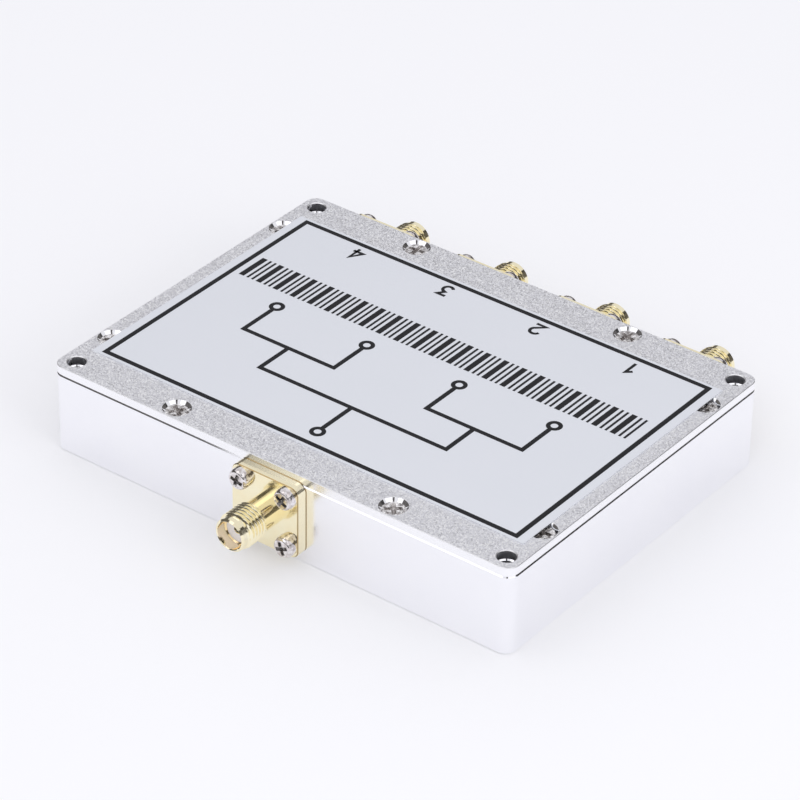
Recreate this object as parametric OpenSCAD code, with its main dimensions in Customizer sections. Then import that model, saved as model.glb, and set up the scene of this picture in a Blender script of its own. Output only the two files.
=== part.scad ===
// Four-way coaxial power splitter: a milled box with a screwed lid, a common jack and four output jacks.
// X runs along the box, the output jacks face +Y, and Z = 0 is the underside of the box.

/* [Box] */
// Length of the box along X
box_l = 88; // [84:0.5:110]
// Width of the box along Y, without the jacks
box_w = 65; // [58:0.5:85]
// Height of the milled body, without the lid
body_h = 14.2; // [14:0.1:18]
// Thickness of the rim around the cavity
wall_t = 5; // [4.4:0.1:6]
// Radius of the box's upright corners
corner_r = 2; // [1.2:0.1:3]
// Radius left by the milling cutter in the cavity's corners
cavity_r = 3; // [1.5:0.1:4]
// Bevel along the underside of the body
body_bevel = 0.3; // [0.1:0.05:0.6]
// Bevel along the top of the body, which shows as a dark line under the lid
rim_bevel = 0.4; // [0.1:0.05:0.5]

/* [Lid] */
// Thickness of the lid
lid_t = 1.4; // [1.3:0.1:2.5]
// Bevel along the lid's top edge
lid_bevel = 0.1; // [0.05:0.05:0.3]

/* [Mounting holes] */
// Diameter of the four corner holes through lid and body
mount_d = 3; // [2.4:0.1:3.2]
// Distance from the box's sides to the centres of the corner holes
mount_inset = 2.75; // [2.6:0.05:3.2]
// Bevel at the mouths of the corner holes on the lid's face and the underside
mount_bevel = 0.15; // [0.05:0.05:0.3]
// Bevel at the mouths of the corner holes under the lid
mount_sink = 0.5; // [0.2:0.05:0.6]

/* [Label] */
// Distance from the box's short sides to the label
label_margin_x = 2.6; // [1:0.1:6]
// Distance from the box's long sides to the label
label_margin_y = 6.6; // [6:0.1:12]
// Thickness of the label
label_t = 0.12; // [0.05:0.01:0.3]

/* [Jacks] */
// Depth of the jacks' axes below the top of the body
port_drop = 6.1; // [5.9:0.1:7]
// Distance between neighbouring output jacks
port_pitch = 20.2; // [18:0.1:21]
// Side of the square flange
flange_size = 12.7; // [12.2:0.1:13.5]
// Thickness of the flange
flange_t = 2; // [1.5:0.1:3]
// Radius of the flange's corners
flange_r = 1.5; // [0.5:0.1:2]
// Bevel round the flange's front and back faces
flange_bevel = 0.15; // [0.05:0.05:0.3]
// Distance between the flange's screw holes
flange_hole_pitch = 8.64; // [8.4:0.02:8.8]
// Diameter of the smooth neck next to the flange
neck_d = 5.3; // [5:0.1:6]
// Length of the neck
neck_l = 2.8; // [1:0.1:5]
// Outer diameter of the thread
thread_d = 6.2; // [6.15:0.01:6.5]
// Length of the thread
thread_l = 4.5; // [3:0.1:8]
// Diameter of the nose in front of the thread
nose_d = 5.5; // [5.4:0.05:5.9]
// Length of the nose
nose_l = 1.1; // [0.8:0.1:3]
// Bevel at the front of the nose and at the ends of the thread
nose_bevel = 0.3; // [0.05:0.05:0.35]
// Diameter of the mouth that takes the plug's sleeve
mouth_d = 4.6; // [4.4:0.02:4.8]
// Depth of the mouth, down to the insulator's face
mouth_depth = 2; // [1.5:0.1:2.5]
// Diameter of the insulator
insulator_d = 4.1; // [3.6:0.05:4.2]
// Diameter of the centre contact
contact_d = 1.27; // [1.1:0.01:1.5]
// Diameter of the contact's socket
socket_d = 0.94; // [0.9:0.01:1]
// Depth of the contact's socket
socket_depth = 3; // [2:0.1:5]
// Width of the slits between the socket's four fingers
slit_w = 0.12; // [0.08:0.01:0.16]
// Length of the slits
slit_l = 2.4; // [1.5:0.1:3]
// Length of the contact's tail inside the cavity
tail_l = 2.2; // [1.5:0.1:3.5]

/* [Screws] */
// Thread diameter of every screw
screw_d = 2; // [1.8:0.05:2.2]
// Head diameter of the countersunk lid screws
lid_head_d = 3.7; // [3.4:0.05:4]
// Mouth diameter of the lid's countersinks
sink_d = 4.6; // [4.4:0.05:4.8]
// Length of the lid screws below the lid
lid_screw_grip = 4; // [2:0.1:5]
// Flat metal between the lid's countersinks and its bevel
sink_edge = 0.1; // [0.05:0.05:0.4]
// Distance of the lid screws along the long sides from the middle
lid_screw_x = 20.8; // [20:0.1:21.5]
// Distance of the lid screws along the short sides from the middle
lid_screw_y = 21.2; // [16:0.1:22]
// Head diameter of the pan screws
pan_head_d = 3.6; // [3.2:0.05:3.8]
// Height of the pan heads
pan_head_h = 1.5; // [1.2:0.1:2]
// Height of the pan heads' straight side
pan_side_h = 0.6; // [0.3:0.05:0.9]
// Length of the cross recess in every screw head
recess_l = 2.1; // [1.6:0.05:2.4]
// Width of the cross recess
recess_w = 0.5; // [0.3:0.05:0.7]
// Depth of the cross recess
recess_depth = 0.8; // [0.4:0.05:1]
// Metal left behind the flange screws' holes
screw_end_wall = 0.6; // [0.4:0.05:1]
// Depth of the board screws' holes in the floor
board_screw_grip = 3.5; // [2:0.1:4]
// Distance from the board's short edges to the board screws
board_screw_inset_x = 4.5; // [3:0.1:6]
// Distance from the board's near edge to the near board screws
board_screw_inset_y = 7; // [4:0.1:12]

/* [Circuit] */
// Thickness of the circuit board
board_t = 0.8; // [0.5:0.1:1.2]
// Thickness of the copper, drawn thicker than real foil
copper_t = 0.1; // [0.05:0.01:0.2]
// Width of the lines that run to the jacks
feed_w = 1.5; // [1:0.1:2]
// Length of the lines that run to the jacks
feed_l = 5; // [4:0.1:6]
// Width of the divider arms
arm_w = 0.8; // [0.4:0.05:1]
// Distance of an arm's outer run from its divider's middle line
arm_reach = 8; // [5:0.1:8.5]
// Half the distance between the two runs that meet at a resistor
arm_fold = 0.9; // [0.8:0.05:1.2]
// Distance between the first stage's last resistor and the second stage
link_l = 4; // [3:0.1:6]
// Sections in each divider
sections = 3; // [2:1:4]
// Length of an isolation resistor
resistor_l = 2; // [1.6:0.1:3.2]
// Width of an isolation resistor
resistor_w = 1.25; // [0.8:0.05:1.4]
// Height of an isolation resistor
resistor_h = 0.5; // [0.35:0.05:0.7]
// Length of a resistor's end that lies on the copper
resistor_land = 0.35; // [0.2:0.05:0.5]
// Radius of the solder bead around a contact's tail
solder_r = 1; // [0.8:0.05:1.1]

/* [Clearances] */
// Radial play of every insulator, contact and screw in its hole
play = 0.03; // [0.01:0.01:0.06]
// Radial play of screws in clearance holes
through_play = 0.15; // [0.1:0.05:0.25]
// Gap between the board and the cavity's walls
board_gap = 0.2; // [0.1:0.05:0.4]
// Room past the end of a screw in a blind hole
blind_room = 0.4; // [0.2:0.1:0.8]
// Distance from the board's edge to the copper
copper_pullback = 0.3; // [0.1:0.05:0.5]

/* [Hidden] */

$fn = 48;
// Overshoot of every cut past the face that it opens
cut = 1;

// Heights
top_z = body_h + lid_t;
port_z = body_h - port_drop;
trace_top_z = port_z - contact_d / 2;
board_top_z = trace_top_z - copper_t;
floor_z = board_top_z - board_t;

// Cavity and board
cavity_l = box_l - 2 * wall_t;
cavity_w = box_w - 2 * wall_t;
board_l = cavity_l - 2 * board_gap;
board_w = cavity_w - 2 * board_gap;
board_r = cavity_r;

// Jacks, measured outwards from the wall
nose_start = flange_t + neck_l + thread_l;
jack_l = nose_start + nose_l;
face_out = jack_l - mouth_depth;

// Ports: the common one, then the outputs from +X to -X
PORTS = [0, 1, 2, 3, 4];
function port_x(i) = i == 0 ? 0 : (2.5 - i) * port_pitch;

// Screw places
mount_x = box_l / 2 - mount_inset;
mount_y = box_w / 2 - mount_inset;
lid_screw_inset = sink_d / 2 + sink_edge + lid_bevel;
side_screw_x = box_l / 2 - lid_screw_inset;
long_screw_y = box_w / 2 - lid_screw_inset;
LID_SCREWS = [
    for (sx = [-1, 1], sy = [-1, 1]) [sx * lid_screw_x, sy * long_screw_y],
    for (sx = [-1, 1], sy = [-1, 1]) [sx * side_screw_x, sy * lid_screw_y]
];
MOUNTS = [for (sx = [-1, 1], sy = [-1, 1]) [sx * mount_x, sy * mount_y]];
flange_screw_depth = wall_t - screw_end_wall;
board_screw_x = board_l / 2 - board_screw_inset_x;
near_board_screw_y = -board_w / 2 + board_screw_inset_y;

// Divider network
section_l = (board_w - 2 * feed_l - link_l) / (2 * sections);
stage_l = sections * section_l;
first_stage_y = -board_w / 2 + feed_l;
second_stage_y = first_stage_y + stage_l + link_l;
neck_x = resistor_l / 2 - resistor_land + arm_w / 2;
BOARD_SCREWS = [
    [-board_screw_x, near_board_screw_y],
    [board_screw_x, near_board_screw_y],
    [-board_screw_x, second_stage_y + stage_l / 2],
    [board_screw_x, second_stage_y + stage_l / 2],
    [0, second_stage_y + stage_l / 2]
];
DIVIDERS = [
    [0, first_stage_y, port_pitch],
    [-port_pitch, second_stage_y, port_pitch / 2],
    [port_pitch, second_stage_y, port_pitch / 2]
];

// Colours
ALUMINIUM = [0.90, 0.90, 0.92];
BLASTED = [0.78, 0.78, 0.80];
FOIL = [0.84, 0.85, 0.89];
GOLD = [0.86, 0.68, 0.30];
NICKEL = [0.72, 0.71, 0.70];
FLUOROPOLYMER = [0.96, 0.96, 0.95];
LAMINATE = [0.80, 0.78, 0.66];
COPPER = [0.78, 0.48, 0.30];
RESISTOR = [0.12, 0.12, 0.13];
SOLDER = [0.75, 0.76, 0.78];

// Half of an upright section with bevelled corners, from the axis outwards
function slab_side(reach, h, low, high) = concat(
    low > 0 ? [[reach - low, 0], [reach, low]] : [[reach, 0]],
    high > 0 ? [[reach, h - high], [reach - high, h]] : [[reach, h]]
);

// Block with round upright corners and bevels round its lower and upper faces
module slab(l, w, h, r, low = 0, high = 0) {
    module beam(reach, run) {
        right = slab_side(reach, h, low, high);
        left = [for (i = [len(right) - 1 : -1 : 0]) [-right[i][0], right[i][1]]];
        rotate([90, 0, 0])
            linear_extrude(run, center = true)
                polygon(concat(right, left));
    }
    beam(l / 2, w - 2 * r);
    rotate([0, 0, 90])
        beam(w / 2, l - 2 * r);
    for (sx = [-1, 1], sy = [-1, 1])
        translate([sx * (l / 2 - r), sy * (w / 2 - r), 0])
            rotate_extrude()
                polygon(concat([[0, 0]], slab_side(r, h, low, high), [[0, h]]));
}

// Moves a jack's own frame, with Z outwards, to its port on the wall
module at_port(i) {
    facing = i == 0 ? -1 : 1;
    translate([port_x(i), facing * box_w / 2, port_z])
        rotate([-90 * facing, 0, 0])
            children();
}

module at_each(places) {
    for (p = places)
        translate([p[0], p[1], 0])
            children();
}

module at_flange_holes() {
    for (sx = [-1, 1], sy = [-1, 1])
        translate([sx, sy, 0] * flange_hole_pitch / 2)
            children();
}

// Bevel that opens a hole's mouth at Z = 0, the hole running down
module mouth_bevel(d, bevel) {
    translate([0, 0, -bevel])
        cylinder(d1 = d, d2 = d + 4 * bevel, h = 2 * bevel);
}

module cross_recess(top) {
    for (turn = [0, 90])
        rotate([0, 0, turn])
            translate([-recess_l / 2, -recess_w / 2, top - recess_depth])
                cube([recess_l, recess_w, recess_depth + cut]);
}

// Screw with a low domed head, its seat at Z = 0
module pan_screw(shank_l) {
    dome_h = pan_head_h - pan_side_h;
    dome_r = (pow(pan_head_d / 2, 2) + pow(dome_h, 2)) / (2 * dome_h);
    difference() {
        union() {
            intersection() {
                cylinder(d = pan_head_d, h = pan_head_h);
                translate([0, 0, pan_head_h - dome_r])
                    sphere(r = dome_r);
            }
            translate([0, 0, -shank_l])
                cylinder(d = screw_d, h = shank_l + pan_side_h);
        }
        cross_recess(pan_head_h);
    }
}

// Countersunk screw whose head lies in a countersink with its mouth at Z = 0
module countersunk_screw() {
    sunk = (sink_d - lid_head_d) / 2;
    head_r = lid_head_d / 2 - play;
    head_h = head_r - screw_d / 2;
    difference() {
        rotate_extrude()
            polygon([
                [0, -sunk],
                [head_r, -sunk],
                [screw_d / 2, -sunk - head_h],
                [screw_d / 2, -lid_t - lid_screw_grip],
                [0, -lid_t - lid_screw_grip]
            ]);
        cross_recess(-sunk);
    }
}

module housing() {
    color(ALUMINIUM)
        difference() {
            slab(box_l, box_w, body_h, corner_r, body_bevel, rim_bevel);
            translate([0, 0, floor_z])
                slab(cavity_l, cavity_w, body_h - floor_z + cut, cavity_r);
            for (i = PORTS)
                at_port(i) {
                    translate([0, 0, -wall_t - cut])
                        cylinder(d = insulator_d + 2 * play, h = wall_t + 2 * cut);
                    at_flange_holes()
                        translate([0, 0, -flange_screw_depth])
                            cylinder(d = screw_d + 2 * play, h = flange_screw_depth + cut);
                }
            at_each(LID_SCREWS)
                translate([0, 0, body_h - lid_screw_grip - blind_room])
                    cylinder(d = screw_d + 2 * play, h = lid_screw_grip + blind_room + cut);
            at_each(MOUNTS) {
                translate([0, 0, -cut])
                    cylinder(d = mount_d, h = body_h + 2 * cut);
                translate([0, 0, body_h])
                    mouth_bevel(mount_d, mount_sink);
                rotate([180, 0, 0])
                    mouth_bevel(mount_d, mount_bevel);
            }
            at_each(BOARD_SCREWS)
                translate([0, 0, floor_z - board_screw_grip - blind_room])
                    cylinder(d = screw_d + 2 * play, h = board_screw_grip + blind_room + cut);
        }
}

module lid() {
    hole_d = screw_d + 2 * through_play;
    color(BLASTED)
        difference() {
            translate([0, 0, body_h])
                slab(box_l, box_w, lid_t, corner_r, 0, lid_bevel);
            at_each(LID_SCREWS) {
                translate([0, 0, body_h - cut])
                    cylinder(d = hole_d, h = lid_t + 2 * cut);
                translate([0, 0, top_z - (sink_d - hole_d) / 2])
                    cylinder(d1 = hole_d, d2 = 2 * sink_d - hole_d, h = sink_d - hole_d);
            }
            at_each(MOUNTS) {
                translate([0, 0, body_h - cut])
                    cylinder(d = mount_d, h = lid_t + 2 * cut);
                translate([0, 0, top_z])
                    mouth_bevel(mount_d, mount_bevel);
            }
        }
}

module label() {
    color(FOIL)
        translate([0, 0, top_z + label_t / 2])
            cube([box_l - 2 * label_margin_x, box_w - 2 * label_margin_y, label_t], center = true);
}

module lid_screws() {
    color(NICKEL)
        at_each(LID_SCREWS)
            translate([0, 0, top_z])
                countersunk_screw();
}

module jack_shell(i) {
    bore_d = insulator_d + 2 * play;
    color(GOLD)
        at_port(i)
            difference() {
                union() {
                    slab(flange_size, flange_size, flange_t, flange_r, flange_bevel, flange_bevel);
                    cylinder(d = neck_d, h = flange_t + neck_l + nose_bevel);
                    translate([0, 0, flange_t + neck_l])
                        rotate_extrude()
                            polygon(concat(
                                [[0, 0]],
                                slab_side(thread_d / 2, thread_l, nose_bevel, nose_bevel),
                                [[0, thread_l]]
                            ));
                    translate([0, 0, nose_start - nose_bevel])
                        rotate_extrude()
                            polygon(concat(
                                [[0, 0]],
                                slab_side(nose_d / 2, nose_l + nose_bevel, 0, nose_bevel),
                                [[0, nose_l + nose_bevel]]
                            ));
                }
                translate([0, 0, -cut])
                    cylinder(d = bore_d, h = jack_l + cut);
                translate([0, 0, face_out])
                    cylinder(d = mouth_d, h = mouth_depth + cut);
                at_flange_holes()
                    translate([0, 0, -cut])
                        cylinder(d = screw_d + 2 * through_play, h = flange_t + 2 * cut);
            }
}

module jack_insulator(i) {
    color(FLUOROPOLYMER)
        at_port(i)
            difference() {
                translate([0, 0, -wall_t])
                    cylinder(d = insulator_d, h = wall_t + face_out);
                translate([0, 0, -wall_t - cut])
                    cylinder(d = contact_d + 2 * play, h = wall_t + face_out + 2 * cut);
            }
}

module jack_contact(i) {
    color(GOLD)
        at_port(i)
            difference() {
                translate([0, 0, -wall_t - tail_l])
                    cylinder(d = contact_d, h = tail_l + wall_t + face_out);
                translate([0, 0, face_out - socket_depth])
                    cylinder(d = socket_d, h = socket_depth + cut);
                for (turn = [45, 135])
                    rotate([0, 0, turn])
                        translate([-contact_d, -slit_w / 2, face_out - slit_l])
                            cube([2 * contact_d, slit_w, slit_l + cut]);
            }
}

module flange_screws(i) {
    color(NICKEL)
        at_port(i)
            at_flange_holes()
                translate([0, 0, flange_t])
                    pan_screw(flange_t + flange_screw_depth - blind_room);
}

module circuit_board() {
    color(LAMINATE)
        difference() {
            translate([0, 0, floor_z])
                slab(board_l, board_w, board_t, board_r);
            at_each(BOARD_SCREWS)
                translate([0, 0, floor_z - cut])
                    cylinder(d = screw_d + 2 * through_play, h = board_t + 2 * cut);
        }
}

// Flat strip along a path of straight runs parallel to X or Y, with square corners
module strip(path, w) {
    for (i = [0 : len(path) - 2]) {
        low = [min(path[i][0], path[i + 1][0]), min(path[i][1], path[i + 1][1])];
        high = [max(path[i][0], path[i + 1][0]), max(path[i][1], path[i + 1][1])];
        translate(low - [w, w] / 2)
            square(high - low + [w, w]);
    }
}

// One arm of a divider, from its middle line, folded in to a resistor after every section
function arm_path(spread) = concat(
    [[0, 0], [arm_reach, 0]],
    [
        for (n = [1 : sections])
            each concat(
                [[arm_reach, n * section_l - arm_fold], [neck_x, n * section_l - arm_fold]],
                n < sections
                    ? [[neck_x, n * section_l + arm_fold], [arm_reach, n * section_l + arm_fold]]
                    : [[neck_x, n * section_l], [spread, n * section_l]]
            )
    ]
);

module microstrip_traces() {
    edge_y = board_w / 2 - copper_pullback;
    color(COPPER)
        translate([0, 0, board_top_z])
            linear_extrude(copper_t) {
                strip([[0, -edge_y + feed_w / 2], [0, first_stage_y]], feed_w);
                for (d = DIVIDERS, side = [0, 1])
                    translate([d[0], d[1]])
                        mirror([side, 0])
                            strip(arm_path(d[2]), arm_w);
                for (side = [-1, 1])
                    strip([
                        [side * port_pitch, first_stage_y + stage_l],
                        [side * port_pitch, second_stage_y]
                    ], feed_w);
                for (i = [1 : 4])
                    strip([
                        [port_x(i), second_stage_y + stage_l],
                        [port_x(i), edge_y - feed_w / 2]
                    ], feed_w);
            }
}

module isolation_resistors() {
    color(RESISTOR)
        for (d = DIVIDERS, n = [1 : sections])
            translate([d[0], d[1] + n * section_l, trace_top_z + resistor_h / 2])
                cube([resistor_l, resistor_w, resistor_h], center = true);
}

module board_screws() {
    color(NICKEL)
        at_each(BOARD_SCREWS)
            translate([0, 0, board_top_z])
                pan_screw(board_t + board_screw_grip);
}

// Half-round beads that lie on the copper round the tails of the contacts
module solder_joints() {
    bead_l = tail_l - board_gap - copper_pullback;
    color(SOLDER)
        for (i = PORTS)
            at_port(i)
                difference() {
                    translate([0, 0, -wall_t - tail_l])
                        cylinder(r = solder_r, h = bead_l);
                    translate([0, 0, -wall_t - tail_l - cut])
                        cylinder(d = contact_d + 2 * play, h = tail_l + 2 * cut);
                    rotate([i == 0 ? 0 : 180, 0, 0])
                        translate([-solder_r - cut, -contact_d / 2 - 2 * solder_r, -wall_t - tail_l - cut])
                            cube([2 * (solder_r + cut), 2 * solder_r, 2 * (wall_t + tail_l + cut)]);
                }
}

housing();
lid();
label();
lid_screws();
jack_shell(0);  // common_jack_shell
jack_shell(1);  // output_1_jack_shell
jack_shell(2);  // output_2_jack_shell
jack_shell(3);  // output_3_jack_shell
jack_shell(4);  // output_4_jack_shell
jack_insulator(0);  // common_jack_insulator
jack_insulator(1);  // output_1_jack_insulator
jack_insulator(2);  // output_2_jack_insulator
jack_insulator(3);  // output_3_jack_insulator
jack_insulator(4);  // output_4_jack_insulator
jack_contact(0);  // common_jack_contact
jack_contact(1);  // output_1_jack_contact
jack_contact(2);  // output_2_jack_contact
jack_contact(3);  // output_3_jack_contact
jack_contact(4);  // output_4_jack_contact
flange_screws(0);  // common_flange_screws
flange_screws(1);  // output_1_flange_screws
flange_screws(2);  // output_2_flange_screws
flange_screws(3);  // output_3_flange_screws
flange_screws(4);  // output_4_flange_screws
circuit_board();
microstrip_traces();
isolation_resistors();
board_screws();
solder_joints();
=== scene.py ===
"""Looks of a four-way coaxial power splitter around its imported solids, laid out as a Blender add-on."""

import functools
import math

import bmesh
import bpy
from mathutils import Matrix, Vector


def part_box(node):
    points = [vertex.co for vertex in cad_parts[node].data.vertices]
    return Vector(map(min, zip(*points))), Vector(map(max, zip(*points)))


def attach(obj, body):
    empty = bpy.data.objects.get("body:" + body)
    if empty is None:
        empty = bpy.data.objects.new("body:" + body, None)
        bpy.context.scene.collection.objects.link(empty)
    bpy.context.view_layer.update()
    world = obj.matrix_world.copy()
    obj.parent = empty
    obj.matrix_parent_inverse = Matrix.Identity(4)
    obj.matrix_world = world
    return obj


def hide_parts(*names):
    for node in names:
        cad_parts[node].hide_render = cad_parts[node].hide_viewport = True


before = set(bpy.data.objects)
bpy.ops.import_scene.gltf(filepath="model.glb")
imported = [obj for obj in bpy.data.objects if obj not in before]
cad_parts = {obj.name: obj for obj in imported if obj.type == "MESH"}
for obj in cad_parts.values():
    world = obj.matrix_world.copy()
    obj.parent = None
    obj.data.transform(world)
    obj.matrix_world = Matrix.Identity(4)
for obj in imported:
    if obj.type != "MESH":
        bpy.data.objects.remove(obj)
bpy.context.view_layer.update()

bl_info = {
    "name": "Coaxial power splitter",
    "version": (1, 0, 0),
    "blender": (4, 5, 0),
    "location": "View3D > Sidebar > Splitter",
    "description": "Dresses the packed solids of a four-way power splitter and sets its studio",
    "category": "Object",
}

MM = 0.001
PORTS = ("common", "output_1", "output_2", "output_3", "output_4")
CORNERS = ((-1, -1), (-1, 1), (1, -1), (1, 1))

# Flat facets round a jack, a screw, a hole and a ring of print
JACK_FACETS = 96
SCREW_FACETS = 48
HOLE_FACETS = 32
PRINT_FACETS = 40
# Steps along one pitch of the thread and along each curve of a pan head
PITCH_STEPS = 12
DOME_STEPS = 8
# Rise of the thread over its length where it runs out at both ends
RUN_OUT = 0.9
# Edges that turn by more than this stay sharp
SHARP_ANGLE = math.radians(32)
# Each screw stops this many degrees further than the one before; a cross looks the same after a quarter turn
SCREW_TURN = 37
QUARTER_TURN = 90
# Distance that keeps two loops or faces apart
HAIR = 0.02 * MM
# Least cosine at a bend of a pen stroke, which limits how far its corner reaches
MITRE = 0.45

# Rise of a face's normal: a level face lies above the first, a wall below the second,
# and an edge that leans upwards lies within the spread of the last
LEVEL = 0.98
WALL = 0.25
LEAN = 0.6
LEAN_SPREAD = 0.35
# Roughness of a freshly cut edge
MIRROR = 0.04
# Reach of the lid's drilled holes and of its screw sinks, and of the sinks along the shorter way,
# as shares of half the lid's sides
HOLE_REACH = 0.97
SINK_REACH = 0.9965
SINK_SIDE = 0.8
# Lean of the blasted dimples
DIMPLE_LEAN = 0.36

# Dark surroundings that bright metal shows: distance in metres, steps, and the upper and lower edges,
# each as turn from the +X side and height above the table, both in degrees
ROOM_RADIUS = 1.2
ROOM_STEPS = 360
HEM = (
    (0, 37), (40, 37), (90, 31), (127, 20), (165, 31), (205, 38), (227.4, 40.5), (229.4, 24), (300, 22),
    (360, 37),
)
FOOT = ((0, 0), (320, 0), (330, 24), (355, 24), (360, 0))
# Dark card over the camera: its middle and half its sides, in metres
CARD_MIDDLE = Vector((0.251, -0.329, 0.623))
CARD_ACROSS = Vector((0.052, 0.039, 0))
CARD_ALONG = Vector((-0.071, 0.092, 0.077))
# Half the table's side in metres, and the darker tone of its mottle as a share
TABLE_HALF = 3.0
MOTTLE = 0.99
# Soft lamps: name, side and place in millimetres, and whether bright metal shows them;
# the low ones only light the table and the label
LAMPS = (
    ("right", 800, (620, -150, 720), True),
    ("left", 700, (-300, -420, 850), True),
    ("front", 600, (430, -760, 480), False),
    ("side", 500, (800, -120, 360), False),
)
LAMP_AIM = Vector((0, 0, 8 * MM))


def linear(code):
    """Turn an sRGB hex colour into linear red, green and blue."""
    parts = [int(code[i:i + 2], 16) / 255 for i in (1, 3, 5)]
    return [p / 12.92 if p <= 0.04045 else ((p + 0.055) / 1.055) ** 2.4 for p in parts]


def number(name, description, default, **settings):
    """A property that holds one number."""
    return bpy.props.FloatProperty(name=name, description=description, default=default, **settings)


def length(name, description, millimetres):
    """A size property, kept in metres."""
    return number(name, description, millimetres * MM, min=0.0, precision=5, unit="LENGTH")


def colour(name, description, code):
    """A colour property, kept as linear light."""
    return bpy.props.FloatVectorProperty(
        name=name, description=description, default=linear(code), min=0.0, max=1.0, size=3, subtype="COLOR"
    )


class SplitterSizes(bpy.types.PropertyGroup):
    """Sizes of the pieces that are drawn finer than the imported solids"""

    flange_t: length("Flange thickness", "Thickness of a jack's square flange", 2.0)
    flange_r: length("Flange corner", "Radius of the flange's corners", 1.5)
    flange_bevel: length("Flange bevel", "Bevel across the flange's faces", 0.13)
    flange_edge: length("Flange edge", "Bevel along the flange's sides", 0.16)
    hole_pitch: length("Flange hole pitch", "Distance between the flange's screw holes", 8.64)
    hole_d: length("Flange hole", "Diameter of the flange's screw holes", 2.3)
    neck_d: length("Neck diameter", "Diameter of the smooth neck next to the flange", 5.3)
    neck_l: length("Neck length", "Length of the smooth neck", 2.8)
    thread_d: length("Thread diameter", "Diameter over the crests of the thread", 6.2)
    thread_l: length("Thread length", "Length of the thread", 4.5)
    thread_pitch: length("Thread pitch", "Distance between the crests, 36 to the inch", 0.7056)
    thread_depth: length("Thread depth", "Height of the crests above the roots", 0.42)
    nose_d: length("Nose diameter", "Diameter of the collar in front of the thread", 5.5)
    nose_bevel: length("Nose bevel", "Bevel at the front of the collar", 0.3)
    mouth_d: length("Mouth diameter", "Diameter of the mouth that takes the plug", 4.6)
    mouth_depth: length("Mouth depth", "Depth of the mouth down to the insulator", 2.0)
    mouth_bevel: length("Mouth bevel", "Bevel at the mouth's rim", 0.12)
    bore_d: length("Bore diameter", "Diameter of the bore round the insulator", 4.16)
    screw_d: length("Screw diameter", "Diameter of the screws' shanks", 2.0)
    screw_lead: length("Screw lead", "Bevel at the ends of the screws' shanks", 0.25)
    pan_head_d: length("Pan head diameter", "Diameter of the flange screws' heads", 3.6)
    pan_head_h: length("Pan head height", "Height of the flange screws' heads", 1.5)
    pan_heel: length("Pan head heel", "Bevel under the heads", 0.05)
    pan_shoulder: length("Pan head shoulder", "Width of the heads' round shoulder", 0.5)
    pan_side_h: length("Pan head side", "Height of the heads' straight side", 0.3)
    pan_crown: length("Pan head crown", "Height of the heads' slightly domed face", 0.1)
    lid_head_d: length("Lid screw head", "Diameter of the countersunk heads", 3.64)
    lid_head_rim: length("Lid screw rim", "Bevel round the countersunk heads", 0.06)
    lid_head_sunk: length("Lid screw depth", "Depth of the heads below the lid's face", 0.45)
    lid_screw_x: length("Lid screw X", "Distance of the long sides' screws from the middle", 20.8)
    lid_screw_y: length("Lid screw Y", "Distance of the short sides' screws from the middle", 21.2)
    pan_recess_l: length("Pan recess length", "Length of the pan heads' cross recess over two wings", 2.3)
    pan_recess_w: length("Pan recess width", "Width of a wing of the pan heads' recess", 0.65)
    pan_taper: number("Pan recess taper", "Floor of the pan heads' recess as a share of its mouth", 0.7)
    lid_recess_l: length("Lid recess length", "Length of the lid screws' cross recess over two wings", 2.7)
    lid_recess_w: length("Lid recess width", "Width of a wing of the lid screws' recess", 0.75)
    lid_taper: number("Lid recess taper", "Floor of the lid screws' recess as a share of its mouth", 0.3)
    recess_depth: length("Recess depth", "Depth of the cross recesses", 0.7)
    recess_tip: length("Recess tip", "Depth of the shallow point in the recesses' floor", 0.12)
    pan_dents: length("Pan head dents", "Unevenness of the pan heads", 0.04)
    recess_dents: length("Recess dents", "Unevenness in the pan heads' recesses", 0.15)
    lid_dents: length("Lid screw dents", "Unevenness of the lid screws", 0.32)
    print_t: length("Print thickness", "Thickness of the ink on the label", 0.02)
    border_w: length("Border width", "Width of the label's border line", 0.86)
    border_x: length("Border X", "Distance of the border's middle from the label's middle along X", 39.5)
    border_y: length("Border Y", "Distance of the border's middle from the label's middle along Y", 24.95)
    band_x: length("Bar band X", "Half the length of the band of bars", 38.0)
    band_low: length("Bar band start", "Start of the band of bars along Y", 5.65)
    band_high: length("Bar band end", "End of the band of bars along Y", 11.8)
    bar_wide: length("Wide bar", "Width of every third bar", 1.0)
    bar_narrow: length("Narrow bar", "Width of the other bars", 0.4)
    bar_gap: length("Bar gap", "Distance between two bars", 0.55)
    number_h: length("Port number height", "Height of the port numbers", 2.9)
    number_w: length("Port number stroke", "Width of the port numbers' strokes", 0.55)
    number_y: length("Port number Y", "Middle of the port numbers along Y", 22.2)
    number_pitch: length("Port number pitch", "Distance between the port numbers", 18.0)
    line_w: length("Diagram line", "Width of the lines of the splitting diagram", 0.8)
    diagram_start: length("Diagram start", "Distance of the single path's end before the middle", 20.5)
    diagram_first: length("First split", "Distance of the first split before the middle", 13.5)
    diagram_second: length("Second split", "Distance of the second split before the middle", 6.5)
    diagram_end: length("Diagram end", "Distance of the four paths' ends beyond the middle", 0.5)
    dot_outer: length("Diagram ring", "Outer radius of the rings at the paths' ends", 1.3)
    dot_inner: length("Diagram ring hole", "Inner radius of the rings at the paths' ends", 0.6)


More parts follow.
